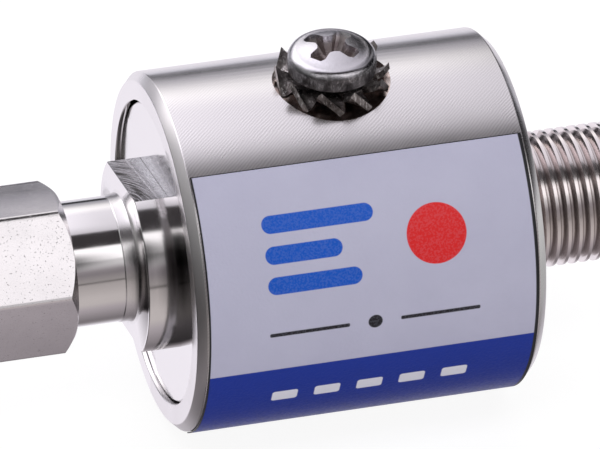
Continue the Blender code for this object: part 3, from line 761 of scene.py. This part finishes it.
def satin_nickel():
    """Satin nickel over lengthwise mill grain, with pits and small bright nicks."""
    finish, tree, shader = new_finish("nut_nickel", (0.77, 0.75, 0.76), 0.2, 1.0)
    place = own_millimetres(tree)[0]
    grain = mottled(stretched(place, 1.2, 14.0, 14.0), 1.0, 4.0)
    pits = between(mottled(place, 8.0, 2.0, 0.5), 0.672, 0.73)
    under = embossed(shader, grain, 0.002)
    embossed(shader, pits, -0.007, under)
    cloud = between(mottled(place, 0.7, 5.0), 0.3, 0.7)
    shade = blended(cloud, (0.76, 0.74, 0.75), (0.80, 0.78, 0.79))
    color = blended(pits, shade, (0.62, 0.59, 0.59))
    linked(shader, Base_Color=color, Roughness=between(cloud, 0.0, 1.0, 0.17, 0.23))
    return finish


SATIN_NICKEL = satin_nickel()


def hexagon_bar(name, length, flat, turn, edge):
    """A hexagon bar along the line from the origin, with its long edges rounded a little."""
    outline = []
    corner = flat / math.cos(math.pi / 6)
    for side in range(6):
        heading = math.radians(30 + 60 * side) - turn
        for step in (-1, -0.5, 0, 0.5, 1):
            lean = step * edge / corner
            reach = flat / math.cos(math.pi / 6 - abs(lean))
            softened = reach - (edge - abs(lean * corner)) * 0.22
            outline.append((softened, heading + lean))
    shell = bmesh.new()
    ends = []
    for x in (0.0, length):
        ends.append([shell.verts.new(ring_point(x, radius, angle)) for radius, angle in outline])
    shell.faces.new(ends[0])
    shell.faces.new(list(reversed(ends[1])))
    for index in range(len(outline)):
        after = (index + 1) % len(outline)
        shell.faces.new((ends[0][index], ends[1][index], ends[1][after], ends[0][after]))
    return placed(name, finished_mesh(name, shell))


nut = hexagon_bar("nut_body", NUT_LENGTH, NUT_FLAT, WRENCH_TURN, 0.16)
cone_path = [
    (0.0, 0.0),
    (0.0, NUT_FACE),
    (NUT_CONE_LENGTH, NUT_CONE),
    (NUT_LENGTH - NUT_CONE_LENGTH, NUT_CONE),
    (NUT_LENGTH, NUT_FACE),
    (NUT_LENGTH, 0.0),
]
combined(nut, turned("nut_cone", cone_path, closed=False), "INTERSECT")
bore_path = [
    (-1.0, 0.0),
    (-1.0, NUT_THREAD_ROOT),
    (NUT_THREAD_END, NUT_THREAD_ROOT),
    (8.6, NUT_THREAD_ROOT),
    (8.6, NECK_INNER + 0.15),
    (9.8, NECK_INNER + 0.15),
    (9.8, NECK + 0.15),
    (10.85, NECK + 0.15),
    (NUT_LENGTH + 0.15, NECK + 0.45),
    (NUT_LENGTH + 0.15, 0.0),
]
combined(nut, turned("nut_bore", bore_path, closed=False))
threaded(nut, NUT_THREAD_ROOT, NUT_THREAD_CREST - NUT_THREAD_ROOT, JACK_PITCH, 0.0, NUT_THREAD_END,
         run_out=0.5, lead=0.5, finish=SATIN_NICKEL)
painted(nut, SATIN_NICKEL)
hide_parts("coupling_nut")
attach(nut, "nut")


# Ground screw: a zinc-plated pan-head machine screw with a cross recess and an M3 thread.
# The head is cold formed, so its crown is smooth, and its recess is painted a darker brown.
HEAD_Z = SEAT_Z + 1.58
HEAD_RADIUS = 3.05
HEAD_HEIGHT = 1.92
HEAD_TOP = HEAD_Z + HEAD_HEIGHT
HEAD_ROUND = 0.72
HEAD_CROWN = 0.36
SCREW_CREST = 1.5
SCREW_ROOT = 1.2
SCREW_PITCH = 0.5
SCREW_POINT = HEAD_Z - 4.6
RECESS_TURN = math.radians(43)
RECESS_REACH = 2.15
RECESS_BACK = 0.28


def bright_zinc():
    """Bright zinc, scratched, dark on the head's side with dirt and a painted dark reflection, and painted
    darker brown in the recess.
    """
    finish, tree, shader = new_finish("screw_zinc", (0.58, 0.57, 0.59), 0.16, 1.0)
    place, x, y, z = own_millimetres(tree)
    from_recess = hypotenuse(minus(x, SCREW_X), minus(y, RECESS_BACK))
    # The cross recess is painted a darker brown.
    recess = times(
        between(z, HEAD_TOP - 0.65, HEAD_TOP - 0.35, 1.0, 0.0),
        between(from_recess, RECESS_REACH, RECESS_REACH + 0.07, 1.0, 0.0),
        between(z, HEAD_Z + 0.3, HEAD_Z + 0.5),
    )
    stain = mottled(place, 2.2, 6.0, 0.65)
    crown = between(z, HEAD_Z + 1.0, HEAD_Z + 1.35)
    scratches = mottled(stretched(place, 5.0, 5.0, 1.6), 1.0, 6.0, 0.7)
    embossed(shader, times(scratches, between(crown, 0.0, 1.0, 1.0, 0.22)), 0.06)
    # The head's side is painted dark: dirt, and a painted dark reflection of the washer.
    side = times(minus(1.0, crown), between(stain, 0.36, 0.60, 0.7, 1.0), 0.92)
    side_dirt_and_reflection = blended(side, (0.62, 0.61, 0.64), (0.085, 0.078, 0.08))
    scuffs = times(
        between(mottled(stretched(place, 3.2, 3.2, 1.6), 1.0, 6.0, 0.75), 0.50, 0.60),
        between(z, HEAD_Z + 1.3, HEAD_Z + 1.5, 0.65, 0.0),
    )
    side_dirt_and_reflection = blended(scuffs, side_dirt_and_reflection, (0.62, 0.61, 0.63))
    color = blended(times(recess, 0.85), side_dirt_and_reflection, (0.40, 0.35, 0.34))
    rough = plus(between(stain, 0.3, 0.7, 0.10, 0.24), times(recess, 0.15))
    linked(shader, Base_Color=color, Roughness=rough)
    return finish


def recess_tool():
    """The cross recess as a tapered cross with hollow flanks between its wings."""
    outline = []
    for wing in range(4):
        heading = RECESS_TURN + wing * math.pi / 2
        inner = heading + math.pi / 4
        for away, reach in ((-0.33, 1.85), (-0.20, RECESS_REACH), (0.20, RECESS_REACH), (0.33, 1.85)):
            outline.append((reach * math.cos(heading + away), reach * math.sin(heading + away)))
        for away, reach in ((-0.32, 1.1), (0.0, 0.97), (0.32, 1.1)):
            outline.append((reach * math.cos(inner + away), reach * math.sin(inner + away)))
    shell = bmesh.new()
    rings = []
    for height, taper in ((HEAD_TOP + 0.2, 1.08), (HEAD_TOP - 0.9, 0.78), (HEAD_TOP - 1.4, 0.42)):
        spots = [(SCREW_X + x * taper, RECESS_BACK + y * taper, height) for x, y in outline]
        rings.append([shell.verts.new(Vector(spot) * MM) for spot in spots])
    shell.faces.new(list(reversed(rings[0])))
    shell.faces.new(rings[-1])
    for first, second in zip(rings, rings[1:]):
        for index in range(len(outline)):
            after = (index + 1) % len(outline)
            shell.faces.new((first[index], first[after], second[after], second[index]))
    return placed("recess_tool", finished_mesh("recess_tool", shell))


BRIGHT_ZINC = bright_zinc()
thread_start = SCREW_POINT + 0.15
thread_end = HEAD_Z - 0.25
screw_path = [
    (SCREW_POINT, 0.0),
    (SCREW_POINT, SCREW_ROOT - 0.15),
    (thread_start, SCREW_ROOT),
    (thread_end, SCREW_ROOT),
    (HEAD_Z, SCREW_ROOT + 0.25),
    (HEAD_Z, HEAD_RADIUS - 0.12),
    (HEAD_Z + 0.12, HEAD_RADIUS),
]
head_corner = HEAD_TOP - HEAD_CROWN - HEAD_ROUND
crown_edge = HEAD_RADIUS - HEAD_ROUND
for angle in range(0, 90, 9):
    lean = math.radians(angle)
    rim = HEAD_RADIUS - HEAD_ROUND * (1 - math.cos(lean))
    screw_path.append((head_corner + HEAD_ROUND * math.sin(lean), rim))
for step in range(9):
    share = step / 8
    level = head_corner + HEAD_ROUND + HEAD_CROWN * (1 - (1 - share) ** 2)
    screw_path.append((level, crown_edge * (1 - share)))
screw = turned("screw_body", screw_path, 96, closed=False)
threaded(screw, SCREW_ROOT, SCREW_CREST - SCREW_ROOT, SCREW_PITCH, thread_start, thread_end,
         run_out=0.3, lead=0.3, finish=BRIGHT_ZINC, facets=96, rows=10)
stood_up(screw, SCREW_X)
combined(screw, recess_tool())
painted(screw, BRIGHT_ZINC)
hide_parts("ground_screw")
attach(screw, "screw")


# Star washer: stamped spring steel with ten teeth sheared and twisted so that they bite.
# The plate is worn to grey-brown, and painted glints are scattered over it.
WASHER_Z = (SEAT_Z + HEAD_Z) / 2
WASHER_THICKNESS = 0.45
WASHER_UNDER = WASHER_Z - WASHER_THICKNESS / 2
WASHER_TOP = WASHER_Z + WASHER_THICKNESS / 2
WASHER_HOLE = 1.65
WASHER_RING = 2.65


def washer_tree():
    """A tree that sets twisted teeth round an upright axis."""
    sizes = ("Root Radius", "Tip Radius", "Root Width", "Tip Width", "Thickness", "Twist", "Room")
    inputs = {"Float": sizes, "Int": ("Teeth", "Seed"), "Vector": ("Centre",)}
    tree, given = new_group("star_washer_teeth", inputs, "Teeth Mesh")
    block = put_node(tree, "GeometryNodeMeshCube", {"Vertices X": 9, "Vertices Y": 5, "Vertices Z": 2})
    corner = put_node(tree, "GeometryNodeInputPosition").outputs[0]
    own = put_node(tree, "ShaderNodeSeparateXYZ", {0: corner}).outputs
    share = plus(own["X"], 0.5)
    radius = between(share, 0.0, 1.0, given["Root Radius"], given["Tip Radius"])
    width = between(share, 0.0, 1.0, given["Root Width"], given["Tip Width"])
    twist = times(reckon("POWER", share, 1.4), given["Twist"])
    sine = reckon("SINE", twist)
    cosine = reckon("COSINE", twist)
    side = times(own["Y"], width)
    rise = times(own["Z"], given["Thickness"])
    broad = times(width, reckon("ABSOLUTE", sine))
    half = times(plus(broad, times(given["Thickness"], cosine)), 0.5)
    lift = reckon("MAXIMUM", minus(half, given["Room"]), 0.0)
    tangent = minus(times(side, cosine), times(rise, sine))
    height = plus(times(side, sine), times(rise, cosine), lift)
    moves = {"Geometry": block.outputs["Mesh"], "Position": vector_of(radius, tangent, height)}
    tooth = put_node(tree, "GeometryNodeSetPosition", moves).outputs[0]
    line = {"Count": given["Teeth"], "Offset": (0.0, 0.0, 0.0)}
    stand = put_node(tree, "GeometryNodeMeshLine", line, mode="OFFSET").outputs["Mesh"]
    index = put_node(tree, "GeometryNodeInputIndex").outputs[0]
    heading = times(reckon("DIVIDE", index, given["Teeth"]), 2 * math.pi)
    strains = {"Min": (-0.06, -0.06, -0.05), "Max": (0.06, 0.0, 0.05), "Seed": given["Seed"]}
    strain = put_node(tree, "FunctionNodeRandomValue", strains, data_type="FLOAT_VECTOR").outputs[0]
    turns = {0: vector_of(0.0, 0.0, heading), 1: strain}
    pose = put_node(tree, "ShaderNodeVectorMath", turns, operation="ADD").outputs[0]
    copies = {"Points": stand, "Instance": tooth, "Rotation": pose}
    teeth = put_node(tree, "GeometryNodeInstanceOnPoints", copies).outputs[0]
    moved = put_node(tree, "GeometryNodeTransform", {"Geometry": teeth, "Translation": given["Centre"]})
    hand_out(tree, given, moved.outputs[0], "Teeth Mesh")
    return tree


def worn_steel():
    """Grey-brown worn steel, with sheared bumps and scattered painted glints."""
    finish, tree, shader = new_finish("washer_steel", (0.30, 0.28, 0.27), 0.3, 1.0)
    place = own_millimetres(tree)[0]
    stain = mottled(place, 1.7, 6.0, 0.7)
    shear_bumps_and_glints = mottled(stretched(place, 5.0, 5.0, 1.0), 1.0, 5.0, 0.7)
    embossed(shader, shear_bumps_and_glints, 0.05)
    dull = blended(between(stain, 0.4, 0.62), (0.13, 0.115, 0.11), (0.42, 0.39, 0.38))
    # Painted glints: scattered near-white spots over the steel.
    color = blended(between(shear_bumps_and_glints, 0.55, 0.64), dull, (0.88, 0.86, 0.84))
    linked(shader, Base_Color=color, Roughness=between(stain, 0.3, 0.7, 0.22, 0.42))
    return finish


WORN_STEEL = worn_steel()
washer_path = eased([
    (WASHER_UNDER, WASHER_HOLE),
    (WASHER_UNDER, WASHER_RING, 0.05),
    (WASHER_TOP, WASHER_RING, 0.05),
    (WASHER_TOP, WASHER_HOLE),
])
washer = turned("washer_body", washer_path, 96)
stood_up(washer, SCREW_X)
teeth = placed("washer_teeth", made_by_tree(
    "washer_teeth",
    washer_tree(),
    {
        "Root Radius": 2.15 * MM,
        "Tip Radius": 3.85 * MM,
        "Root Width": 1.2 * MM,
        "Tip Width": 2.2 * MM,
        "Thickness": WASHER_THICKNESS * MM,
        "Twist": math.radians(-46),
        "Room": 0.70 * MM,
        "Teeth": 10,
        "Seed": 4,
        "Centre": (SCREW_X * MM, 0.0, WASHER_Z * MM),
        "Finish": WORN_STEEL,
    },
))
combined(washer, teeth, "UNION")
painted(washer, WORN_STEEL)
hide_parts("star_washer")
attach(washer, "washer")


# Label: a printed polyester film wrapped round the front of the barrel between its chamfers.
# The print is pale with a navy band along its lower edge, under a fine orange-peel lacquer.
LABEL_START = 18.23
LABEL_END = 41.43
LABEL_TOP = math.radians(31.7)
LABEL_BOTTOM = math.radians(144.5)
LABEL_INNER = 12.54
LABEL_OUTER = 12.63
BAND_TOP = math.radians(98.7)


def rounded_mark(u, v, middle, half, corner):
    """1 inside a rounded box on the label, 0 outside it."""
    over = []
    for place, centre, reach in zip((u, v), middle, half):
        away = reckon("ABSOLUTE", minus(place, centre))
        over.append(reckon("MAXIMUM", minus(away, reach - corner), 0.0))
    return between(hypotenuse(*over), corner - 0.03, corner + 0.03, 1.0, 0.0)


def printed_film():
    """Pale film with plain printed shapes, a navy band, dark lines along its edges with a painted shadow on
    the right one, and an orange-peel lacquer.
    """
    finish, tree, shader = new_finish("label_film", (0.62, 0.62, 0.74), 0.38, Specular_IOR_Level=0.25)
    place, x, y, z = own_millimetres(tree)
    turn = round_line(y, z)[1]
    u = minus(x, LABEL_START)
    v = times(minus(turn, LABEL_TOP), LABEL_OUTER)
    width = LABEL_END - LABEL_START
    band = (BAND_TOP - LABEL_TOP) * LABEL_OUTER
    blue = (0.008, 0.095, 0.52)
    red = (0.70, 0.02, 0.02)
    black = (0.012, 0.012, 0.016)
    marks = (
        ((8.1, 4.0), (3.9, 0.62), 0.62, blue),
        ((6.9, 6.1), (2.7, 0.62), 0.62, blue),
        ((7.5, 8.2), (3.3, 0.62), 0.62, blue),
        ((16.2, 6.1), (2.1, 2.1), 2.1, red),
        ((7.0, 11.8), (2.8, 0.14), 0.1, black),
        ((16.2, 11.8), (2.8, 0.14), 0.1, black),
        ((11.6, 11.8), (0.5, 0.5), 0.5, black),
    )
    tone = between(mottled(place, 0.25), 0.3, 0.7)
    color = blended(tone, (0.485, 0.485, 0.615), (0.51, 0.51, 0.64))
    cells = between(mottled(place, 7.0, 1.0, 0.5), 0.42, 0.62, 1.0, 0.93)
    for middle, half, corner, ink in marks:
        mark = rounded_mark(u, v, middle, half, corner)
        color = blended(times(mark, cells), color, ink)
    color = blended(between(v, band - 0.03, band + 0.03), color, (0.004, 0.030, 0.31))
    for column in range(5):
        mark = rounded_mark(u, v, (5.6 + column * 3.0, band + 3.0), (0.9, 0.55), 0.2)
        color = blended(mark, color, (0.80, 0.80, 0.86))
    # Dark lines along the left, right and top edges; the wide one on the right is a painted shadow of the
    # film's lifted edge.
    left = between(u, 0.07, 0.12, 1.0, 0.0)
    right = between(u, width - 0.27, width - 0.22)
    top = between(v, 0.05, 0.09, 1.0, 0.0)
    edges = reckon("MAXIMUM", reckon("MAXIMUM", left, right), top)
    color = blended(edges, color, (0.02, 0.02, 0.022))
    peel = mottled(place, 5.0, 2.0, 0.5)
    embossed(shader, peel, 0.02)
    linked(shader, Base_Color=color, Roughness=between(peel, 0.3, 0.7, 0.32, 0.44))
    return finish


PRINTED_FILM = printed_film()
film = bmesh.new()
film_section = eased([
    (LABEL_START, LABEL_INNER),
    (LABEL_START, LABEL_OUTER, 0.03),
    (LABEL_END, LABEL_OUTER, 0.03),
    (LABEL_END, LABEL_INNER),
])
swept(film, film_section, 72, LABEL_TOP, LABEL_BOTTOM - LABEL_TOP)
label = placed("label_film", finished_mesh("label_film", film))
label.data.materials.append(PRINTED_FILM)
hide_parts("label")
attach(label, "root")


# Studio: a pale floor under the arrestor, a light tent whose bands run along the line,
# and a long lens at the photograph's angle.
YAW = math.radians(15.45)
ELEVATION = math.radians(30.24)
LEAN = math.radians(5.5)
DISTANCE = 0.552
FOCAL = 480.0
TOWARD_LENS = Vector((
    -math.sin(YAW) * math.cos(ELEVATION),
    -math.cos(YAW) * math.cos(ELEVATION),
    math.sin(ELEVATION),
))


def tent_light():
    """The tent seen from the object: strips of light along the line, and dark gaps between them."""
    world = bpy.data.worlds.new("light_tent")
    world.use_nodes = True
    tree = world.node_tree
    background = tree.nodes["Background"]
    ray = put_node(tree, "ShaderNodeTexCoord").outputs["Generated"]
    leaned = put_node(tree, "ShaderNodeVectorRotate", {"Vector": ray, "Angle": LEAN}, rotation_type="X_AXIS")
    direction = leaned.outputs[0]
    x, y, z = put_node(tree, "ShaderNodeSeparateXYZ", {0: direction}).outputs
    height = reckon("ARCTAN2", z, times(y, -1.0))
    share = reckon("MULTIPLY_ADD", height, 1 / (2 * math.pi), 0.5)
    ramp = put_node(tree, "ShaderNodeValToRGB", {"Fac": share})
    violet = (1.0, 0.96, 1.035)
    blue = (0.98, 0.97, 1.08)
    brown = (1.05, 0.965, 0.955)
    grey = (1.04, 0.94, 1.0)
    white = (1.01, 0.98, 1.0)
    strips = (
        (-180, 0.90, blue), (-170, 1.0, violet), (-135, 1.05, violet), (-112, 0.32, grey), (-103, 0.24, grey),
        (-82, 0.38, grey), (-66, 0.51, grey), (-52, 0.65, brown), (-39, 0.65, brown), (-15, 0.50, brown),
        (-10.8, 0.48, brown), (-10.2, 0.10, brown), (-8.6, 0.10, brown), (-7.9, 0.42, brown), (7, 0.27, grey),
        (13, 0.34, grey), (22, 0.82, white), (29.8, 0.86, white), (31, 1.58, white), (54, 1.60, white),
        (55.5, 0.05, grey), (82.5, 0.05, grey), (84, 0.84, violet), (97, 1.0, violet), (128, 1.10, violet),
        (140, 1.42, white), (148, 1.20, white), (158, 0.64, violet), (166, 0.48, blue), (169.5, 0.02, blue),
        (178, 0.02, blue), (179.2, 0.80, blue),
    )
    stops = ramp.color_ramp.elements
    while len(stops) > 1:
        stops.remove(stops[-1])
    for index, (angle, level, tint) in enumerate(strips):
        position = (angle + 180) / 360
        stop = stops.new(position) if index else stops[0]
        stop.position = position
        stop.color = (*(level * part for part in tint), 1.0)
    behind = window(height, math.radians(86), math.radians(100), math.radians(150), math.radians(166))
    plain_fall = between(x, -0.6, 0.7, 1.08, 0.72)
    box_fall = plus(between(x, -0.15, 0.18, 0.80, 0.0), between(x, 0.29, 0.65, 0.87, 0.25))
    fall = reckon("MULTIPLY_ADD", minus(box_fall, plain_fall), behind, plain_fall)
    both = {0: direction, 1: TOWARD_LENS}
    toward_lens = put_node(tree, "ShaderNodeVectorMath", both, operation="DOT_PRODUCT").outputs[1]
    lens_hood = between(toward_lens, 0.90, 0.975, 1.0, 0.06, smooth=True)
    right_flag = times(
        between(x, 0.79, 0.87, 0.0, 0.95, smooth=True),
        between(z, -0.12, -0.06),
    )
    rear_flag = times(
        between(x, 0.28, 0.42, 0.0, 0.92, smooth=True),
        between(x, 0.66, 0.76, 1.0, 0.0, smooth=True),
        window(z, -0.12, -0.04, 0.60, 0.72),
        between(y, 0.1, 0.3),
    )
    low_left = times(
        between(x, -0.14, 0.02, 0.85, 0.0),
        between(x, -0.62, -0.5),
        window(height, math.radians(-118), math.radians(-104), math.radians(18), math.radians(36)),
    )
    lit = times(fall, lens_hood)
    for flag in (right_flag, rear_flag, low_left):
        lit = times(lit, minus(1.0, flag))
    strip_color = {0: ramp.outputs["Color"], 3: lit}
    along = put_node(tree, "ShaderNodeVectorMath", strip_color, operation="SCALE").outputs[0]
    left_end = between(x, -0.62, -0.80, 0.0, 1.0, smooth=True)
    left_light = between(z, 0.0, 0.4, 0.02, 0.36)
    right_end = times(
        between(x, 0.74, 0.84, 0.0, 1.0, smooth=True),
        between(z, -0.16, -0.10, 1.0, 0.0),
    )
    right_light = between(z, -0.40, -0.05, 0.48, 0.92)
    ends = blended(left_end, along, vector_of(left_light, left_light, left_light))
    ends = blended(right_end, ends, vector_of(right_light, right_light, right_light))
    seen = put_node(tree, "ShaderNodeLightPath").outputs
    open_air = reckon("MAXIMUM", seen["Is Camera Ray"], seen["Is Transmission Ray"])
    tree.links.new(blended(open_air, ends, (1.0, 1.0, 1.0)), background.inputs["Color"])
    background.inputs["Strength"].default_value = 1.0
    bpy.context.scene.world = world


def floor_finish():
    """White board that stays white to the camera and keeps a faint shadow."""
    finish, tree, shader = new_finish("floor_white", (0.9, 0.9, 0.9), 0.9)
    output = tree.nodes["Material Output"]
    glow = put_node(tree, "ShaderNodeEmission", {"Strength": 1.12}).outputs[0]
    seen = put_node(tree, "ShaderNodeLightPath").outputs
    share = reckon("MULTIPLY", seen["Is Camera Ray"], 0.8)
    mixed = put_node(tree, "ShaderNodeMixShader", {0: share, 1: shader.outputs[0], 2: glow}).outputs[0]
    tree.links.new(mixed, output.inputs["Surface"])
    return finish


tent_light()
shell = bmesh.new()
bmesh.ops.create_grid(shell, x_segments=1, y_segments=1, size=1.5)
bmesh.ops.translate(shell, verts=shell.verts, vec=(0.0, 0.0, -(LABEL_OUTER + 0.02) * MM))
floor = placed("floor", finished_mesh("floor", shell))
painted(floor, floor_finish())
floor.visible_glossy = False
panel = bpy.data.lights.new("top_panel", "AREA")
panel.shape = "RECTANGLE"
panel.size = 0.30
panel.size_y = 0.16
panel.energy = 0.75
top_panel = placed("top_panel", panel)
top_panel.matrix_world = Matrix.Translation((0.02, -0.16, 0.30)) @ Matrix.Rotation(math.radians(-28), 4, "X")
top_panel.visible_glossy = False
top_panel.visible_camera = False

right = Vector((math.cos(YAW), -math.sin(YAW), 0.0))
up = TOWARD_LENS.cross(right)
aim = (Vector((29.83, 0.0, 0.0)) - right * 1.759 + up * 0.277) * MM
lens = bpy.data.cameras.new("long_lens")
lens.lens = FOCAL
lens.sensor_width = 36.0
lens.clip_start = 0.01
camera = placed("camera", lens)
stand = Matrix.Translation(aim + TOWARD_LENS * DISTANCE)
facing = Matrix((right, up, TOWARD_LENS)).transposed().to_4x4()
camera.matrix_world = Matrix.Rotation(-LEAN, 4, "X") @ stand @ facing
bpy.context.scene.camera = camera
bpy.context.scene.view_settings.view_transform = "Standard"
